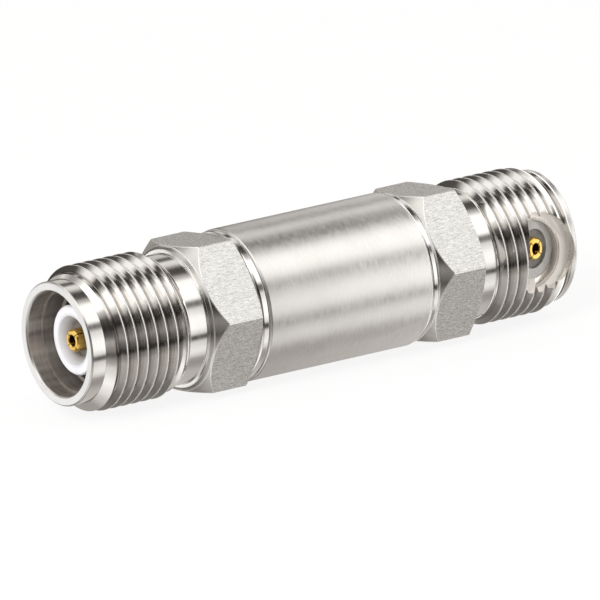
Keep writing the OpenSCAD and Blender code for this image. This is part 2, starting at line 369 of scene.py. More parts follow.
def hex_section(x, turned_mat, flat_mat):
    """Hex whose corners are turned off on both faces, as sections of rows.

    A turned line with a painted highlight runs round the foot of its front and another one further out."""
    front, back = dome(HEX_FACE_R, HEX_CHAMFER), dome(HEX_BACK_R, HEX_BACK_CHAMFER)

    def slope(shape, x_face, side, face_r):
        """Rows of a turned-off face, from its foot to the hex's sides."""
        def points(angle):
            top = hex_radius(angle) - HEX_EDGE
            line = min(TURNED_LINE_R, top - TURNED_LINE_WIDTH)
            steps = [face_r, line, line + TURNED_LINE_WIDTH]
            steps += [steps[-1] + (top - steps[-1]) * i / 3 for i in range(1, 4)]
            return [(x_face + side * shape(v), v) for v in steps]
        return points

    def flat(angle):
        """Rows of the sides, with both of their edges."""
        r = hex_radius(angle)
        x0, x1 = x[0] + front(r - HEX_EDGE), x[1] - back(r - HEX_EDGE)
        inner = [x0 + HEX_EDGE + (x1 - x0 - 2 * HEX_EDGE) * i / 4 for i in range(5)]
        return [(x0, r - HEX_EDGE), *[(v, r) for v in inner], (x1, r - HEX_EDGE)]

    def on_edge(row, angle):
        """Marks the first and the last strip, and the strips by the corners, for the painted highlight."""
        by_corner = CORNER_LINE[0] < off_corner(angle) < CORNER_LINE[1]
        return T_EDGE_HIGHLIGHT if row in (0, 5) or by_corner else None

    near = slope(front, x[0], 1, HEX_FACE_R)
    far = slope(back, x[1], -1, HEX_BACK_R)
    return [
        plain([(x[0], HEX_FACE_R - GAP)], T_EDGE_HIGHLIGHT),
        Section(near, turned_mat, strip=lambda row, angle: T_EDGE_HIGHLIGHT if row == 1 else None),
        Section(flat, flat_mat, strip=on_edge),
        Section(lambda angle: far(angle)[::-1], turned_mat),
        plain([(x[1], HEX_BACK_R - SOFT_EDGE)], turned_mat),
    ]


# The bodies' material slots: edge holds painted highlights, slope painted shade, and thread painted shade at
# its roots
BODY_SLOTS = ("thread", "hex", "bore", "face", "neck", "edge", "slope")
T_THREAD, T_HEX, T_BORE, T_FACE, T_NECK, T_EDGE_HIGHLIGHT, T_SLOPE_SHADE = range(len(BODY_SLOTS))


# Node helpers for the materials


class Graph:
    """Short ways to build a material's node tree."""

    def __init__(self, name):
        self.material = bpy.data.materials.new(name)
        self.material.use_nodes = True
        self.tree = self.material.node_tree
        self.shader = self.tree.nodes["Principled BSDF"]

    def node(self, kind, **settings):
        n = self.tree.nodes.new(kind)
        for key, value in settings.items():
            setattr(n, key, value)
        return n

    def link(self, a, b):
        self.tree.links.new(a, b)

    def coords(self, scale):
        """Object coordinates in millimetres, scaled along each axis."""
        tex = self.node("ShaderNodeTexCoord")
        mapping = self.node("ShaderNodeMapping")
        mapping.inputs["Scale"].default_value = [v / MM for v in scale]
        self.link(tex.outputs["Object"], mapping.inputs["Vector"])
        return mapping.outputs["Vector"]

    def noise(self, scale, detail=3.0, rough=0.55):
        """Noise with about scale changes in a millimetre along each axis."""
        n = self.node("ShaderNodeTexNoise")
        n.inputs["Scale"].default_value = 1.0
        n.inputs["Detail"].default_value = detail
        n.inputs["Roughness"].default_value = rough
        self.link(self.coords(scale), n.inputs["Vector"])
        return n.outputs["Fac"]

    def ramp(self, value, low, high):
        """Runs from low to high over the span that most of a noise stays in."""
        n = self.node("ShaderNodeMapRange")
        n.inputs["To Min"].default_value = low
        n.inputs["To Max"].default_value = high
        n.inputs["From Min"].default_value = 0.3
        n.inputs["From Max"].default_value = 0.7
        self.link(value, n.inputs["Value"])
        return n.outputs["Result"]

    def blend(self, value, dark, light):
        """Mixes two colours by a noise."""
        n = self.node("ShaderNodeMix", data_type="RGBA")
        n.inputs["A"].default_value = (*dark, 1)
        n.inputs["B"].default_value = (*light, 1)
        clamp = self.ramp(value, 0.0, 1.0)
        self.link(clamp, n.inputs["Factor"])
        return n.outputs["Result"]

    def average(self, a, b, share):
        """Mean of two values, with a share of the second."""
        n = self.node("ShaderNodeMix", data_type="FLOAT")
        n.inputs["Factor"].default_value = share
        self.link(a, n.inputs["A"])
        self.link(b, n.inputs["B"])
        return n.outputs["Result"]

    def colour(self, socket):
        self.link(socket, self.shader.inputs["Base Color"])

    def roughness(self, value, low, high):
        self.link(self.ramp(value, low, high), self.shader.inputs["Roughness"])

    def bump(self, values, strength, distance):
        """Stacks bumps: values is a list of (height, share of the distance)."""
        normal = None
        for value, share in values:
            b = self.node("ShaderNodeBump")
            b.inputs["Strength"].default_value = strength
            b.inputs["Distance"].default_value = distance * share * MM
            self.link(value, b.inputs["Height"])
            if normal:
                self.link(normal, b.inputs["Normal"])
            normal = b.outputs["Normal"]
        self.link(normal, self.shader.inputs["Normal"])

    def axis_distance(self, near, far):
        """0 at one distance from the adapter's axis and 1 at another."""
        length = self.node("ShaderNodeVectorMath", operation="LENGTH")
        self.link(self.coords((0, 1, 1)), length.inputs[0])
        share = self.node("ShaderNodeMapRange")
        share.inputs["From Min"].default_value, share.inputs["From Max"].default_value = near, far
        self.link(length.outputs["Value"], share.inputs["Value"])
        return share.outputs["Result"]

    def mix(self, share, low, high):
        """Mixes a colour with the one of a socket, high, by a share."""
        n = self.node("ShaderNodeMix", data_type="RGBA")
        n.inputs["A"].default_value = (*low, 1)
        self.link(share, n.inputs["Factor"])
        self.link(high, n.inputs["B"])
        return n.outputs["Result"]

    def stretch_along_axis(self, amount):
        """Smears reflections along the adapter, as fine turned lines do."""
        quarter_turn = 0.25
        around = self.node("ShaderNodeTangent", direction_type="RADIAL", axis="X")
        self.link(around.outputs["Tangent"], self.shader.inputs["Tangent"])
        self.shader.inputs["Anisotropic"].default_value = amount
        self.shader.inputs["Anisotropic Rotation"].default_value = quarter_turn

    def set(self, **values):
        names = {"metallic": "Metallic", "specular": "Specular IOR Level", "roughness": "Roughness"}
        for key, value in values.items():
            self.shader.inputs[names[key]].default_value = value


def turned_steel(name, dark, light, rough, lines, depth, painted_groove_shade=None, around=0.3, grain=0.0, metallic=1.0):
    """Steel with fine lines round the axis: lines is their number in a millimetre.

    A larger around makes the lines shorter, and grain is their share in the colour.
    Where a colour for the grooves is given, the steel darkens to it at the thread's roots: painted shade."""
    g = Graph(name)
    fine = g.noise((lines, around, around), 1.0)
    faint = g.noise((lines * 2.3, around * 1.7, around * 1.7), 1.0)
    cloud = g.noise((0.35, 0.35, 0.35), 3.0)
    tone = g.blend(g.average(cloud, fine, grain), dark, light)
    # Painted shade: darker towards the thread's roots
    if painted_groove_shade:
        root = THREAD_R - GROOVE_DEPTH
        tone = g.mix(g.axis_distance(root, root + GROOVE_SHADE), painted_groove_shade, tone)
    g.colour(tone)
    g.roughness(fine, rough[0], rough[1])
    g.bump([(fine, 1.0), (faint, 0.6)], 0.5, depth)
    g.set(metallic=metallic)
    return g.material


def bored_steel(name, dark, light, rough):
    """Steel with coarser rings from boring, and painted sheens in its colour that run along the adapter."""
    g = Graph(name)
    # Painted sheen: lighter and darker streaks along the adapter
    painted_sheen = g.noise((0.03, 0.8, 0.8), 2.0, 0.6)
    rings = g.noise((11.0, 0.4, 0.4), 2.0, 0.7)
    g.colour(g.blend(g.average(painted_sheen, rings, 0.35), dark, light))
    g.roughness(rings, rough[0], rough[1])
    g.bump([(rings, 1.0)], 0.5, 0.02)
    g.set(metallic=0.8)
    g.stretch_along_axis(0.8)
    return g.material


def brushed_flat_steel(name, dark, light, rough):
    """Flats with short strokes along the adapter and a fine sandy grain."""
    g = Graph(name)
    strokes = g.noise((2.2, 8.0, 8.0), 4.0, 0.75)
    grain = g.noise((6.0, 11.0, 11.0), 2.0, 0.6)
    g.colour(g.blend(g.average(strokes, grain, 0.4), dark, light))
    g.roughness(grain, rough[0], rough[1])
    g.bump([(strokes, 1.0), (grain, 0.8)], 0.6, 0.02)
    g.set(metallic=1.0)
    return g.material


def gold_plate(name, dark, light, rough):
    """Gold with clouded tones and fine turned lines."""
    g = Graph(name)
    cloud = g.noise((2.0, 2.0, 2.0), 3.0)
    lines = g.noise((12.0, 1.0, 1.0), 2.0)
    g.colour(g.blend(cloud, dark, light))
    g.roughness(cloud, rough[0], rough[1])
    g.bump([(lines, 1.0)], 0.4, 0.006)
    g.set(metallic=1.0)
    return g.material


def plastic(name, dark, light, dish=None):
    """Satin plastic, with painted shade: greyer inside its dish where dish gives that colour."""
    g = Graph(name)
    cloud = g.noise((0.8, 0.8, 0.8), 4.0)
    tool = g.noise((6.0, 6.0, 6.0), 3.0)
    tone = g.blend(cloud, dark, light)
    # Painted shade: darker towards the axis, inside the dish
    if dish:
        tone = g.mix(g.axis_distance(DISH_FLOOR_R, DISH_R + DISH_SHADE), dish, tone)
    g.colour(tone)
    g.roughness(tool, 0.38, 0.5)
    g.bump([(tool, 1.0)], 0.3, 0.004)
    return g.material


def black_rubber():
    """Dull rubber with a fine grain."""
    g = Graph("black_rubber")
    grain = g.noise((6.0, 6.0, 6.0), 3.0)
    g.colour(g.blend(grain, (0.015, 0.015, 0.016), (0.04, 0.04, 0.042)))
    g.roughness(grain, 0.5, 0.7)
    g.bump([(grain, 1.0)], 0.4, 0.01)
    return g.material


# Pieces


def body_slots():
    """The bodies' materials, in the order of their slots."""
    return [MATS[name] for name in BODY_SLOTS]


def spigot_points(back, mirror=False):
    """The spigot from the back of the hex inwards, then the bush's hole."""
    outer = [(back, SPIGOT_R), (SEAL_X[0], SPIGOT_R), (SEAL_X[0], SEAL_R), (SEAL_X[1], SEAL_R),
             (SEAL_X[1], SPIGOT_R), (SPIGOT_END - CHAMFER, SPIGOT_R), (SPIGOT_END, SPIGOT_R - CHAMFER),
             (SPIGOT_END, FLANGE_R), (FLANGE_X, FLANGE_R), (FLANGE_X, INSULATOR_R + GAP)]
    return [(mirrored(x), r) for x, r in outer] if mirror else outer


def left_body():
    """Face, nose, thread, neck, hex and spigot on the outside, then the bore back to the mouth."""

    def envelope(x):
        return min(NOSE_R + (x - LEFT_CONE) * LEAD_SLOPE, NECK_R + (LEFT_NECK - x) * RUNOUT_SLOPE)

    back, rim = LEFT_END + 1.0, LEFT_END + RIM_CHAMFER
    face = fillet([(back, MOUTH_R), (rim, MOUTH_R), (LEFT_END, MOUTH_R + RIM_CHAMFER),
                   (LEFT_END, NOSE_R - RIM_CHAMFER), (rim, NOSE_R), (back, NOSE_R)], SOFT_EDGE)[1:-1]
    nose = [(LEFT_END + NOSE_FACE, NOSE_R), (LEFT_CONE - STEP, NOSE_R)]
    foot = HEX_FACE_R - GAP - TURNED_LINE_WIDTH
    neck = fillet([(LEFT_NECK + STEP, NECK_R), (LEFT_HEX[0], NECK_R), (LEFT_HEX[0], foot)], NECK_FILLET)
    bore = fillet([(FLANGE_X, INSULATOR_R + GAP), (LEFT_FLOOR, INSULATOR_R + GAP), (LEFT_FLOOR, INNER_BORE_R),
                   (LEFT_STEP + CHAMFER, INNER_BORE_R), (LEFT_STEP, BORE_R), (LEFT_LEAD_END, BORE_R),
                   (LEFT_LEAD_END, MOUTH_R), (LEFT_END + MOUTH_FACE, MOUTH_R)], FINE_EDGE)[1:]
    sections = [
        plain(face, T_FACE),
        plain(nose, T_NECK),
        thread_section(LEFT_CONE, LEFT_NECK, LEFT_THREAD - CREST_SHIFT, envelope),
        plain(neck, T_NECK),
        *hex_section(LEFT_HEX, T_SLOPE_SHADE, T_HEX),
        plain(fillet(spigot_points(LEFT_HEX[1]), SOFT_EDGE), T_NECK),
        plain(bore, T_BORE),
    ]
    return turned("left_body_skin", sections, body_angles(), body_slots())


def right_body():
    """Spigot, hex, neck, thread and rim, then the recess and the bore, with the side port cut."""
    start = RIGHT_THREAD - PITCH / 2 - RIGHT_LEAD

    def envelope(x):
        return min(NECK_R + (x - start) * RIGHT_LEAD_SLOPE, ROOT_R + (RIGHT_NOSE - x) * RIGHT_NOSE_SLOPE)

    neck = fillet([(start, THREAD_R), (start, NECK_R), (RIGHT_NECK_ROW, NECK_R), (RIGHT_HEX[1], NECK_R),
                   (RIGHT_HEX[1], THREAD_R)], NECK_FILLET)[1:-1]
    rim = fillet([(RIGHT_NOSE + STEP, ROOT_R), (RIGHT_END - CHAMFER, ROOT_R), (RIGHT_END, ROOT_R - CHAMFER),
                  (RIGHT_END, MOUTH_R + CHAMFER), (RIGHT_END - CHAMFER, MOUTH_R),
                  (RECESS_ROWS[0], MOUTH_R)], SOFT_EDGE)
    recess = fillet([(RECESS_ROWS[1], MOUTH_R), (RIGHT_FLOOR, MOUTH_R), (RIGHT_FLOOR, INSULATOR_R + GAP),
                     (mirrored(FLANGE_X), INSULATOR_R + GAP)], FINE_EDGE)[:-1]
    sections = [
        plain(fillet(spigot_points(mirrored(RIGHT_HEX[0]), True), SOFT_EDGE)[::-1], T_NECK),
        *hex_section(RIGHT_HEX, T_SLOPE_SHADE, T_HEX),
        plain(neck[::-1], T_NECK),
        thread_section(start, RIGHT_NOSE, RIGHT_THREAD - CREST_SHIFT, envelope),
        plain(rim + recess, T_FACE),
    ]
    obj = turned("right_body_skin", sections, body_angles(), body_slots())
    cut(obj, port_cutters())
    return obj


# Side port


def port_matrix():
    """Frame with Z out of the port and X along the adapter."""
    return Matrix.Rotation(math.radians(PORT_CLOCK), 4, "X")


def port_face_matrix():
    """Frame with Z out of the tilted face of the port's insulator."""
    place = Matrix.Translation(Vector(PORT_FACE))
    return port_matrix() @ place @ Matrix.Rotation(math.radians(PORT_TILT), 4, "Y")


def prism(name, outline, low, high, matrix, slots=()):
    """Closed prism of an outline in X and Y, between two heights. A second slot is its bottom's."""
    n = len(outline)
    points = [matrix @ Vector((x, y, low)) for x, y in outline]
    points += [matrix @ Vector((x, y, high)) for x, y in outline]
    faces = [tuple(range(n))[::-1], tuple(range(n, 2 * n))]
    faces += [(i, (i + 1) % n, n + (i + 1) % n, n + i) for i in range(n)]
    mats = [1 if len(slots) > 1 else 0] + [0] * (n + 1)
    return make_object(name, [tuple(p) for p in points], faces, mats, slots)


def half_round(x, r, steps=72):
    """Circle about a place, cut off by the port's flat side to its left."""
    half = math.degrees(math.acos(-(x - FLAT_X) * math.cos(math.radians(FLAT_TURN)) / r))
    arc = [math.radians(FLAT_TURN - half + 2 * half * i / steps) for i in range(steps + 1)]
    return [(x + r * math.cos(t), r * math.sin(t)) for t in arc]


def round_outline(r, steps=96):
    """Circle about the origin, as (x, y) points."""
    turns = [2 * math.pi * i / steps for i in range(steps)]
    return [(r * math.cos(t), r * math.sin(t)) for t in turns]


def bake(obj):
    """Replaces an object's mesh by the one its modifiers make."""
    dg = bpy.context.evaluated_depsgraph_get()
    mesh = bpy.data.meshes.new_from_object(obj.evaluated_get(dg))
    obj.modifiers.clear()
    obj.data = mesh


def join_by(obj, other, operation):
    """Applies a boolean of obj with other, and deletes other."""
    mod = obj.modifiers.new("cut", "BOOLEAN")
    mod.operation = operation
    mod.solver = "EXACT"
    mod.material_mode = "TRANSFER"
    mod.object = other
    bake(obj)
    bpy.data.objects.remove(other, do_unlink=True)


def cut(obj, cutters):
    """Takes each cutter out of an object."""
    for c in cutters:
        join_by(obj, c, "DIFFERENCE")
    clean(obj)


def soften(obj, width):
    """Bevels the sharp edges of a small piece."""
    mod = obj.modifiers.new("soften", "BEVEL")
    mod.width = width * MM
    mod.segments = 2
    mod.limit_method = "ANGLE"
    mod.angle_limit = math.radians(40)
    bake(obj)
    clean(obj)


def above_face():
    """All the space in front of the port's tilted face."""
    far = 10
    square = [(-far, -far), (far, -far), (far, far), (-far, far)]
    return prism("above_face", square, 0, 2 * far, port_face_matrix())


def port_cutters():
    """The ledge, the liner's pocket down to the tilted seat, and the insulator's seat."""
    wall, floor_steel = [MATS["port_wall"]], [MATS["face"]]
    reach = THREAD_R + PORT_REACH
    seat_top = PORT_CONTACT_LEN + CHAMFER
    ledge_slots = wall + [MATS["ledge"]]
    ledge = prism("ledge_cut", half_round(LEDGE_X, LEDGE_R), LEDGE_H, reach, port_matrix(), ledge_slots)
    soften(ledge, EDGE)
    pocket = prism("pocket_cut", half_round(PORT_X, PORT_R), 0, reach, port_matrix(), wall)
    join_by(pocket, above_face(), "INTERSECT")
    seat = prism("seat_cut", half_round(PORT_X, PORT_R), 0, reach, port_matrix(), floor_steel)
    disc = prism("disc_cut", round_outline(PORT_DISC_R + GAP), -PORT_DISC_T, seat_top, port_face_matrix())
    join_by(seat, disc, "INTERSECT")
    hole = prism("contact_cut", round_outline(CONTACT_R + GAP, 48), -PORT_DISC_T, seat_top,
                 port_face_matrix(), floor_steel)
    return [ledge, pocket, seat, hole]


def port_liner():
    """Bent strip round the pocket, from the tilted face up to the ledge."""
    outer = half_round(PORT_X, PORT_R - GAP)
    inner = half_round(PORT_X, PORT_R - LINER_T)
    obj = prism("port_liner_skin", outer + inner[::-1], 0, LEDGE_H, port_matrix(), [MATS["liner"]])
    join_by(obj, above_face(), "INTERSECT")
    along = Matrix.Rotation(math.pi / 2, 4, "Y")
    barrel = prism("barrel_root", round_outline(ROOT_R, RING_COLUMNS), FLAT_X - PORT_REACH, RIGHT_END, along)
    join_by(obj, barrel, "INTERSECT")
    soften(obj, FINE_EDGE)
    return obj


def turned_on_face(name, outer, inner, slots):
    """A piece turned about the port's own axis, from (height over the face, r) points."""
    sections = [plain(fillet(outer, FINE_EDGE), 0), plain(fillet(inner, FINE_EDGE), 1)]
    obj = turned(name, sections, ring_angles(PORT_COLUMNS), slots)
    to_axis = port_face_matrix() @ Matrix.Rotation(-math.pi / 2, 4, "Y")
    obj.data.transform(Matrix.Scale(MM, 4) @ to_axis @ Matrix.Scale(1 / MM, 4))
    return obj


def port_insulator():
    """Dished disc in the tilted seat, cut off by the port's flat side."""
    ring = [(-PORT_DISC_T, CONTACT_R + GAP), (-PORT_DISC_T, PORT_DISC_R), (0, PORT_DISC_R), (0, PORT_DISH_R)]
    floor_h = -PORT_DISH_DEPTH
    dish = [(0, PORT_DISH_R), (floor_h, PORT_DISH_R - GAP), (floor_h, CONTACT_R + GAP)]
    obj = turned_on_face("port_insulator_skin", ring, dish, [MATS["port_ring"], MATS["port_dish"]])
    pocket = half_round(PORT_X, PORT_R - GAP)
    inside = prism("pocket", pocket, 0, THREAD_R, port_matrix(), [MATS["port_ring"]])
    join_by(obj, inside, "INTERSECT")
    clean(obj)
    return obj


def slot_outline(start, end):
    """Outline of a contact's slot between two places."""
    half = SLOT_WIDTH / 2
    return [(start, -half), (end, -half), (end, half), (start, half)]


def port_contact():
    """Slotted socket contact that stands out of the port's insulator."""
    base, top, bell = -PORT_DISC_T, PORT_CONTACT_LEN, CHAMFER / 2
    outer = [(base, 0), (base, CONTACT_R), (top - CHAMFER, CONTACT_R), (top, CONTACT_R - CHAMFER),
             (top, PIN_HOLE_R + bell), (top - bell, PIN_HOLE_R)]
    hole = [(top - bell, PIN_HOLE_R), (base + CHAMFER, PIN_HOLE_R), (base + CHAMFER, 0)]
    obj = turned_on_face("port_contact_skin", outer, hole, [MATS["gold"], MATS["hole"]])
    for turn in (SLOT_TURN, SLOT_TURN + 90):
        matrix = port_face_matrix() @ Matrix.Rotation(math.radians(turn), 4, "Z")
        across = slot_outline(-SLOT_REACH, SLOT_REACH)
        join_by(obj, prism("slot", across, -CHAMFER, SLOT_REACH, matrix, [MATS["gold"]]), "DIFFERENCE")
    clean(obj)
    return obj


# Turned pieces


def simple_turned(name, outline, material, columns, edge=EDGE, right=False):
    """A closed turned piece of one material, with softened edges, mirrored where right is set."""
    points = [(mirrored(x), r) for x, r in outline] if right else outline
    points = fillet(points + points[:2], edge)[1:-1]
    return turned(name, [plain(points, 0)], ring_angles(columns), [material])


def sleeve_skin():
    """The long sleeve over both spigots, with a web round the dielectric in its middle."""
    left = [(BEAD_END, DIELECTRIC_R + GAP), (BEAD_END, BEAD_R + GAP), (SPIGOT_END, BEAD_R + GAP),
            (SPIGOT_END, SPIGOT_R + GAP), (SLEEVE[0], SPIGOT_R + GAP), (SLEEVE[0], SLEEVE_R - CHAMFER),
            (SLEEVE[0] + CHAMFER, SLEEVE_R)]
    right = [(mirrored(x), r) for x, r in left[::-1]]
    return simple_turned("sleeve_skin", left + right, MATS["sleeve"], RING_COLUMNS)


def shim_skin(name, x0, x1):
    """Thin ring between a hex and the sleeve."""
    out = [(x0, SPIGOT_R + 2 * GAP), (x0, SHIM_R - CHAMFER), (x0 + CHAMFER, SHIM_R), (x1 - CHAMFER, SHIM_R),
           (x1, SHIM_R - CHAMFER), (x1, SPIGOT_R + 2 * GAP)]
    return simple_turned(name, out, MATS["ring"], RING_COLUMNS, FINE_EDGE)


def insulator_skin(name, face, right=False):
    """Front insulator with a dish in its face and a flange at its back."""
    out = [(face + DISH_DEPTH, CONTACT_R + GAP), (face + DISH_DEPTH, DISH_FLOOR_R), (face, DISH_R),
           (face, INSULATOR_R - CHAMFER), (face + CHAMFER, INSULATOR_R), (FLANGE_X, INSULATOR_R),
           (FLANGE_X, FLANGE_R - GAP), (FLANGE_END, FLANGE_R - GAP), (FLANGE_END, SHOULDER_R + GAP),
           (SHOULDER_X[0], SHOULDER_R + GAP), (SHOULDER_X[0], CONTACT_R + GAP)]
    return simple_turned(name, out, MATS["plastic"], INSULATOR_COLUMNS, FINE_EDGE, right)


def contact_skin(name, tip, right=False):
    """Slotted socket contact with a shoulder and a stud at its back."""
    bell = CHAMFER / 2
    hole = [(tip + PIN_HOLE_DEPTH, 0), (tip + PIN_HOLE_DEPTH, PIN_HOLE_R), (tip + bell, PIN_HOLE_R)]
    rest = [(tip + bell, PIN_HOLE_R), (tip, PIN_HOLE_R + bell), (tip, CONTACT_R - CHAMFER),
            (tip + CHAMFER, CONTACT_R), (SHOULDER_X[0], CONTACT_R), (SHOULDER_X[0], SHOULDER_R),
            (SHOULDER_X[1], SHOULDER_R), (SHOULDER_X[1], CONDUCTOR_R), (STUD_X[0], CONDUCTOR_R),
            (STUD_X[0], STUD_R), (STUD_X[1], STUD_R), (STUD_X[1], 0)]
    side = mirrored if right else float
    sections = [plain([(side(x), r) for x, r in hole], 1),
                plain([(side(x), r) for x, r in fillet(rest, SOFT_EDGE)], 0)]
    obj = turned(name, sections, ring_angles(CONTACT_COLUMNS), [MATS["gold"], MATS["hole"]])
    along = slot_outline(*sorted((side(tip - SLOT_REACH), side(tip + SLOT_LEN))))
    for turn in (SLOT_TURN, SLOT_TURN + 90):
        matrix = Matrix.Rotation(math.radians(turn), 4, "X")
        join_by(obj, prism("slot", along, -SLOT_REACH, SLOT_REACH, matrix, [MATS["gold"]]), "DIFFERENCE")
    clean(obj)
    return obj


# Studio


# Levels of the light boxes and dark cards round the adapter. The clock angle, in degrees
# from the top towards the front, is that of the metal that shows them to the camera.
# SIDE_BANDS is met by barrels and flats, SLOPE_BANDS by cones and bevels that face left,
# and FLANK_BANDS by the thread's steeper flanks.
STUDIO_LEVEL = 1.35
SIDE_BANDS = [
    (-180, 0.35), (-60, 0.20), (-25, 0.12), (-14, 0.16), (-8, 0.50), (-1, 0.48), (4, 0.08), (7, 0.12),
    (11, 0.68), (15.5, 0.60), (19, 0.25), (22.5, 0.05), (28, 0.07), (32, 0.38), (38, 0.98), (54, 0.98),
    (58, 0.13), (60.5, 0.15), (64, 0.66), (73, 0.92), (80, 0.92), (85, 0.66), (87.5, 0.05), (89.5, 0.06),
    (92.5, 0.62), (101, 0.76), (106, 0.56), (108.5, 0.30), (113, 0.27), (126, 0.42), (158, 0.46),
    (180, 0.35),
]
SLOPE_BANDS = [
    (-180, 0.30), (-60, 0.30), (-22, 0.40), (-14, 0.65), (-8, 0.42), (-2, 0.27), (4, 0.33), (10, 0.58),
    (16, 0.95), (20, 1.15), (44, 1.15), (50, 0.40), (56, 0.05), (64, 0.02), (70, 0.08), (76, 0.34),
    (82, 0.22), (87, 0.08), (93, 0.30), (100, 0.62), (114, 0.85), (124, 0.72), (136, 0.50), (150, 0.30),
    (180, 0.30),
]
FLANK_BANDS = [
    (-180, 0.25), (-100, 0.15), (-40, 0.05), (-5, 0.06), (-1, 0.20), (3, 0.50), (8, 0.80), (15, 0.85),
    (18.5, 0.60), (22, 0.05), (28, 0.05), (32, 0.35), (37, 1.05), (48, 1.05), (53, 0.55), (58, 0.07),
    (65, 0.015), (70, 0.14), (76, 0.25), (81, 0.12), (88, 0.015), (92, 0.20), (98, 0.36), (110, 0.32),
    (120, 0.24), (128, 0.15), (138, 0.13), (158, 0.17), (180, 0.25),
]
# Faces that look straight left see FACE_LEVEL. From there to metal that faces right, the light
# changes at these spans of the normal's part along X. The flanks' light comes twice, as
# the deep parts of the grooves show it by way of the next flank.
FACE_LEVEL, RIM_LEVEL, END_LEVEL = 0.78, 1.2, 0.45
LIGHT_STEPS = [
    ((-0.97, -0.90), FLANK_BANDS),
    ((-0.80, -0.76), SLOPE_BANDS),
    ((-0.65, -0.58), FLANK_BANDS),
    ((-0.16, -0.10), SIDE_BANDS),
    ((0.10, 0.22), RIM_LEVEL),
    ((0.36, 0.46), END_LEVEL),
]


def warmth(level, light, dark):
    """Share of green or blue in a light, which is less in ones below the neutral level."""
    neutral = 0.8
    return dark + (light - dark) * min(level / neutral, 1)


def band_ramp(tree, share, bands):
    """Colour ramp round the clock that share runs through from 0 to 1."""
    ramp = tree.nodes.new("ShaderNodeValToRGB")
    ramp.color_ramp.interpolation = "EASE"
    stops = ramp.color_ramp.elements
    made = len(stops)
    for i, (angle, level) in enumerate(bands):
        place = (angle + 180) / 360
        stop = stops[i] if i < made else stops.new(place)
        stop.position = place
        stop.color = (level, level * warmth(level, 0.985, 0.91), level * warmth(level, 0.96, 0.84), 1)
    tree.links.new(share, ramp.inputs["Fac"])
    return ramp.outputs["Color"]


def change_over(tree, value, span, low, high):
    """Mixes two lights smoothly where value passes through a span."""
    step = tree.nodes.new("ShaderNodeMapRange")
    step.interpolation_type = "SMOOTHSTEP"
    step.inputs["From Min"].default_value, step.inputs["From Max"].default_value = span
    tree.links.new(value, step.inputs["Value"])
    mix = tree.nodes.new("ShaderNodeMix")
    mix.data_type = "RGBA"
    tree.links.new(step.outputs["Result"], mix.inputs["Factor"])
    for socket, light in (("A", low), ("B", high)):
        if isinstance(light, float):
            mix.inputs[socket].default_value = (light, light, light, 1)
        else:
            tree.links.new(light, mix.inputs[socket])
    return mix.outputs["Result"]


def clock_share(tree, direction):
    """Clock angle of a direction about X, as a share of a turn from -180 degrees."""
    new, link = tree.nodes.new, tree.links.new
    front = new("ShaderNodeMath")
    front.operation = "MULTIPLY"
    front.inputs[1].default_value = -1.0
    link(direction.outputs["Y"], front.inputs[0])
    clock = new("ShaderNodeMath")
    clock.operation = "ARCTAN2"
    link(front.outputs["Value"], clock.inputs[0])
    link(direction.outputs["Z"], clock.inputs[1])
    share = new("ShaderNodeMapRange")
    share.inputs["From Min"].default_value = -math.pi
    share.inputs["From Max"].default_value = math.pi
    link(clock.outputs["Value"], share.inputs["Value"])
    return share.outputs["Result"]


def mirror_normal(tree, direction):
    """Normal of metal that shows the camera the light from a direction, as X, Y and Z."""
    half_way = tree.nodes.new("ShaderNodeVectorMath")
    half_way.operation = "SUBTRACT"
    half_way.inputs[1].default_value = view_direction()
    tree.links.new(direction, half_way.inputs[0])
    unit = tree.nodes.new("ShaderNodeVectorMath")
    unit.operation = "NORMALIZE"
    tree.links.new(half_way.outputs["Vector"], unit.inputs[0])
    parts = tree.nodes.new("ShaderNodeSeparateXYZ")
    tree.links.new(unit.outputs["Vector"], parts.inputs["Vector"])
    return parts


def world_light():
    """A studio of long soft boxes and dark cards round the adapter, with a white backdrop."""
    world = bpy.data.worlds.new("studio")
    bpy.context.scene.world = world
    world.use_nodes = True
    tree = world.node_tree
    new, link = tree.nodes.new, tree.links.new
    tex = new("ShaderNodeTexCoord")
    turn = new("ShaderNodeMapping")
    turn.inputs["Rotation"].default_value = (-math.radians(VIEW_TURN), 0, 0)
    link(tex.outputs["Generated"], turn.inputs["Vector"])
    normal = mirror_normal(tree, turn.outputs["Vector"])
    share = clock_share(tree, normal)
    studio = FACE_LEVEL
    for span, bands in LIGHT_STEPS:
        light = bands if isinstance(bands, float) else band_ramp(tree, share, bands)
        studio = change_over(tree, normal.outputs["X"], span, studio, light)
    back = tree.nodes["Background"]
    link(studio, back.inputs["Color"])
    back.inputs["Strength"].default_value = STUDIO_LEVEL
    white = new("ShaderNodeBackground")
    white.inputs["Color"].default_value = (1, 1, 1, 1)
    path = new("ShaderNodeLightPath")
    mix = new("ShaderNodeMixShader")
    link(path.outputs["Is Camera Ray"], mix.inputs["Fac"])
    link(back.outputs["Background"], mix.inputs[1])
    link(white.outputs["Background"], mix.inputs[2])
    link(mix.outputs["Shader"], tree.nodes["World Output"].inputs["Surface"])


def area_light(name, place, size, power):
    """Soft light on the adapter that the metal doesn't mirror."""
    data = bpy.data.lights.new(name, "AREA")
    data.shape = "RECTANGLE"
    data.size, data.size_y = size
    data.energy = power
    obj = bpy.data.objects.new(name, data)
    obj.location = place
    obj.rotation_euler = (-Vector(place)).to_track_quat("-Z", "Y").to_euler()
    obj.visible_glossy = False
    bpy.context.scene.collection.objects.link(obj)


# Share of plain white in the floor as the camera sees it
FLOOR_WHITE = 0.87


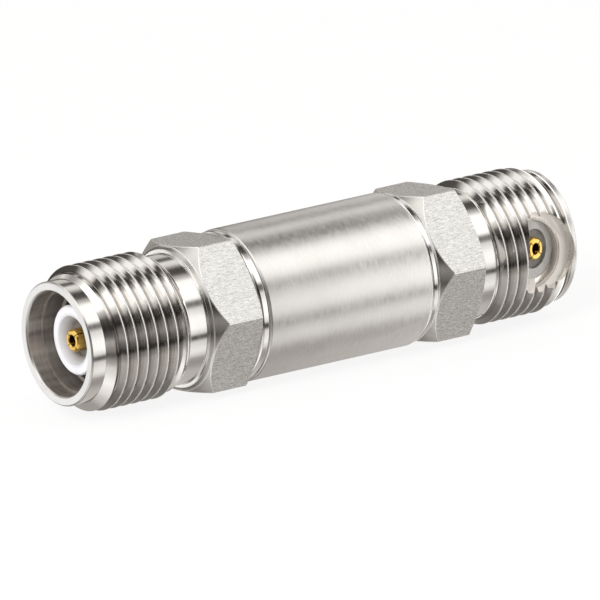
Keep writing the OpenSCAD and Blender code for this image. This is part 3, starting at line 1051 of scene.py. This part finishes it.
def floor():
    """Pale paper under the adapter, which stays out of its reflections."""
    size = 1.5
    corners = [(-size, -size), (size, -size), (size, size), (-size, size)]
    mesh = bpy.data.meshes.new("floor")
    mesh.from_pydata([(x, y, cad_box[0].z) for x, y in corners], [], [(0, 1, 2, 3)])
    obj = bpy.data.objects.new("floor", mesh)
    bpy.context.scene.collection.objects.link(obj)
    g = Graph("floor_paper")
    cloud = g.noise((0.004, 0.004, 0.004), 2.0)
    g.colour(g.blend(cloud, (0.93, 0.93, 0.93), (0.95, 0.95, 0.95)))
    g.set(roughness=0.9, specular=0.1)
    white = g.node("ShaderNodeEmission")
    path = g.node("ShaderNodeLightPath")
    share = g.node("ShaderNodeMath", operation="MULTIPLY")
    share.inputs[1].default_value = FLOOR_WHITE
    mix = g.node("ShaderNodeMixShader")
    g.link(path.outputs["Is Camera Ray"], share.inputs[0])
    g.link(share.outputs[0], mix.inputs["Fac"])
    g.link(g.shader.outputs["BSDF"], mix.inputs[1])
    g.link(white.outputs["Emission"], mix.inputs[2])
    g.link(mix.outputs["Shader"], g.tree.nodes["Material Output"].inputs["Surface"])
    mesh.materials.append(g.material)
    obj.visible_glossy = False


# The picture's width and the lens's focal length in pixels, the size of a pixel at the
# adapter, the place on the axis under the picture's centre and its height over that
# centre in pixels. With a longer lens, the other views would clip the adapter away.
PICTURE_PX, FOCAL_PX, PX_MM = 600, 28000, 0.07468
CENTRE_X, CENTRE_UP_PX = 0.07, 10.64


def camera():
    """The photograph's view. It looks flat, so the camera stands far off with a long lens."""
    forward = view_direction()
    right = forward.cross((0, 0, 1)).normalized()
    up = right.cross(forward)
    data = bpy.data.cameras.new("camera")
    data.sensor_width = 36
    data.lens = data.sensor_width * FOCAL_PX / PICTURE_PX
    data.clip_start, data.clip_end = 1, 10
    obj = bpy.data.objects.new("camera", data)
    place = Vector((CENTRE_X, 0, 0)) - up * CENTRE_UP_PX * PX_MM - forward * FOCAL_PX * PX_MM
    turn = Matrix.Rotation(math.radians(VIEW_TURN), 4, "X")
    facing = Matrix((right, up, -forward)).transposed().to_4x4()
    obj.matrix_world = turn @ Matrix.Translation(place * MM) @ facing
    bpy.context.scene.collection.objects.link(obj)
    bpy.context.scene.camera = obj


def wear(piece, node):
    """Puts a piece in place of a CAD node."""
    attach(piece, "root")
    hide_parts(node)


def paint(node, material):
    """Gives a CAD node that stays a finished material."""
    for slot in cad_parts[node].material_slots:
        slot.material = material


MATS = {
    # The thread's groove colour is painted shade at its roots
    "thread": turned_steel("thread_steel", (0.78, 0.77, 0.75), (0.86, 0.85, 0.83), (0.07, 0.12), 9.0, 0.0015,
                           painted_groove_shade=(0.36, 0.33, 0.30)),
    # Painted highlight: a lighter copy of the thread steel for crests and edges
    "edge": turned_steel("edge_highlight_steel", (0.92, 0.915, 0.90), (0.98, 0.975, 0.96), (0.36, 0.46), 9.0, 0.002),
    "neck": turned_steel("neck_steel", (0.78, 0.77, 0.75), (0.85, 0.84, 0.82), (0.10, 0.15), 8.0, 0.0015),
    # Painted shade: a darker copy of the turned steel for the hexes' turned-off faces
    "slope": turned_steel("slope_shaded_steel", (0.50, 0.49, 0.47), (0.60, 0.59, 0.57), (0.14, 0.20), 8.0, 0.0015),
    "face": turned_steel("face_steel", (0.78, 0.77, 0.75), (0.86, 0.85, 0.83), (0.26, 0.36), 10.0, 0.004),
    "bore": bored_steel("bore_steel", (0.15, 0.13, 0.11), (0.66, 0.61, 0.56), (0.3, 0.44)),
    "brass": turned_steel("bush_brass", (0.62, 0.47, 0.20), (0.74, 0.58, 0.28), (0.2, 0.3), 8.0, 0.003),
    "ring": turned_steel("ring_steel", (0.80, 0.79, 0.78), (0.88, 0.87, 0.86), (0.06, 0.1), 8.0, 0.001),
    "sleeve": turned_steel("sleeve_steel", (0.74, 0.725, 0.70), (0.88, 0.87, 0.85), (0.28, 0.37), 8.5, 0.003,
                           around=1.4, grain=0.6),
    "liner": turned_steel("liner_steel", (0.50, 0.46, 0.42), (0.62, 0.57, 0.52), (0.25, 0.35), 8.0, 0.004,
                          metallic=0.7),
    "port_wall": turned_steel("port_wall_steel", (0.74, 0.72, 0.69), (0.84, 0.82, 0.79), (0.2, 0.3), 8.0,
                              0.003),
    "ledge": turned_steel("ledge_steel", (0.76, 0.72, 0.67), (0.86, 0.82, 0.77), (0.3, 0.4), 8.0, 0.003,
                          metallic=0.6),
    "hex": brushed_flat_steel("hex_steel", (0.42, 0.415, 0.40), (0.98, 0.975, 0.955), (0.22, 0.34)),
    "gold": gold_plate("gold_plate", (0.80, 0.47, 0.08), (0.95, 0.66, 0.20), (0.16, 0.26)),
    # Painted shade: the pin holes' walls are dark gold
    "hole": gold_plate("hole_shade_gold", (0.10, 0.05, 0.015), (0.18, 0.10, 0.03), (0.5, 0.7)),
    # The white plastic's dish colour is painted shade
    "plastic": plastic("white_plastic", (0.80, 0.80, 0.84), (0.87, 0.87, 0.91), (0.18, 0.165, 0.145)),
    "port_ring": plastic("port_ring_plastic", (0.42, 0.405, 0.385), (0.52, 0.505, 0.48)),
    # Painted shade: a darker copy of the port insulator's plastic for its dish
    "port_dish": plastic("port_dish_shaded_plastic", (0.19, 0.18, 0.16), (0.28, 0.265, 0.24)),
    "rubber": black_rubber(),
}

camera()
floor()
world_light()
area_light("key", place=(-0.32, -0.2, 0.25), size=(0.2, 0.2), power=1.4)

wear(left_body(), "left_connector_body")
wear(right_body(), "right_connector_body")
wear(sleeve_skin(), "centre_sleeve")
wear(shim_skin("left_shim_skin", LEFT_HEX[1], SLEEVE[0]), "left_shim_ring")
wear(shim_skin("right_shim_skin", SLEEVE[1], RIGHT_HEX[0]), "right_shim_ring")
wear(insulator_skin("left_insulator_skin", LEFT_FACE), "left_front_insulator")
wear(insulator_skin("right_insulator_skin", mirrored(RIGHT_FLOOR), True),
     "right_front_insulator")
wear(contact_skin("left_contact_skin", LEFT_TIP), "left_contact")
wear(contact_skin("right_contact_skin", mirrored(RIGHT_TIP), True), "right_contact")
wear(port_liner(), "side_port_liner")
wear(port_insulator(), "side_port_insulator")
wear(port_contact(), "side_port_contact")
paint("centre_conductor", MATS["gold"])
for name in ("left_support_bead", "right_support_bead", "centre_dielectric"):
    paint(name, MATS["plastic"])
for name in ("left_air_line_bush", "right_air_line_bush"):
    paint(name, MATS["brass"])
for name in ("left_seal_ring", "right_seal_ring"):
    paint(name, MATS["rubber"])

bpy.context.scene.view_settings.view_transform = "Standard"
